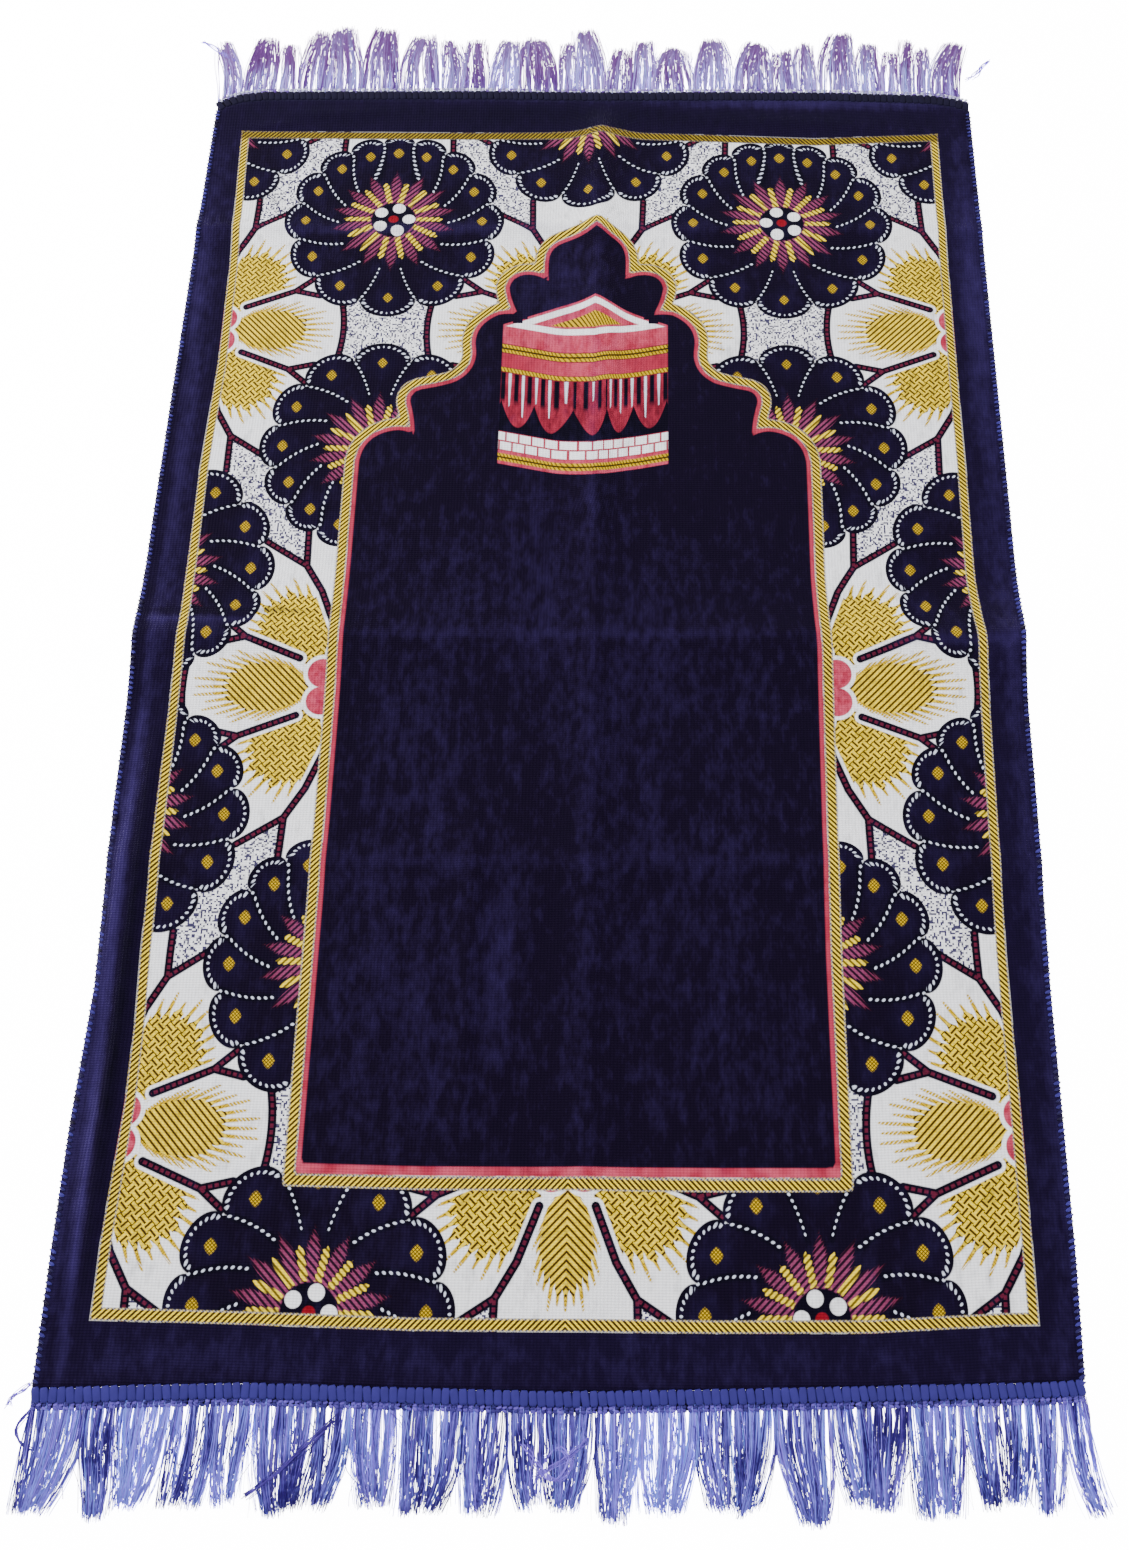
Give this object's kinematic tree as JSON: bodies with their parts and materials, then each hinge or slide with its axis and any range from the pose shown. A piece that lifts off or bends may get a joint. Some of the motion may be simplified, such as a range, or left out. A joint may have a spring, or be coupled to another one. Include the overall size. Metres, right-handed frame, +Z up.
{
  "type": "prayer rug",
  "caption": "Flat pile prayer rug with an arched niche field, a flower border and a silky fringe on both short ends, laid out on the floor with soft fold ridges.",
  "frame": {"origin": "on the floor under the middle of the rug, half way between the tips of the two fringes and half way between the long edges", "axes": "+X across the rug to the right as seen from the near end, +Y along the rug towards the end that the arch points at, +Z up out of the pile"},
  "size_m": [0.6853, 1.2462, 0.016],
  "materials": {
    "pile": "short cut velvet pile, navy with woven white, gold and crimson figures",
    "fringe_yarn": "silky lilac blue yarn, loose and lightly tangled",
    "edge_thread": "violet blue overcast thread along the long edges"
  },
  "bodies": {
    "root": {"rug_cloth": "pile", "fringe_near": "fringe_yarn", "fringe_far": "fringe_yarn"}
  },
  "joints": []
}
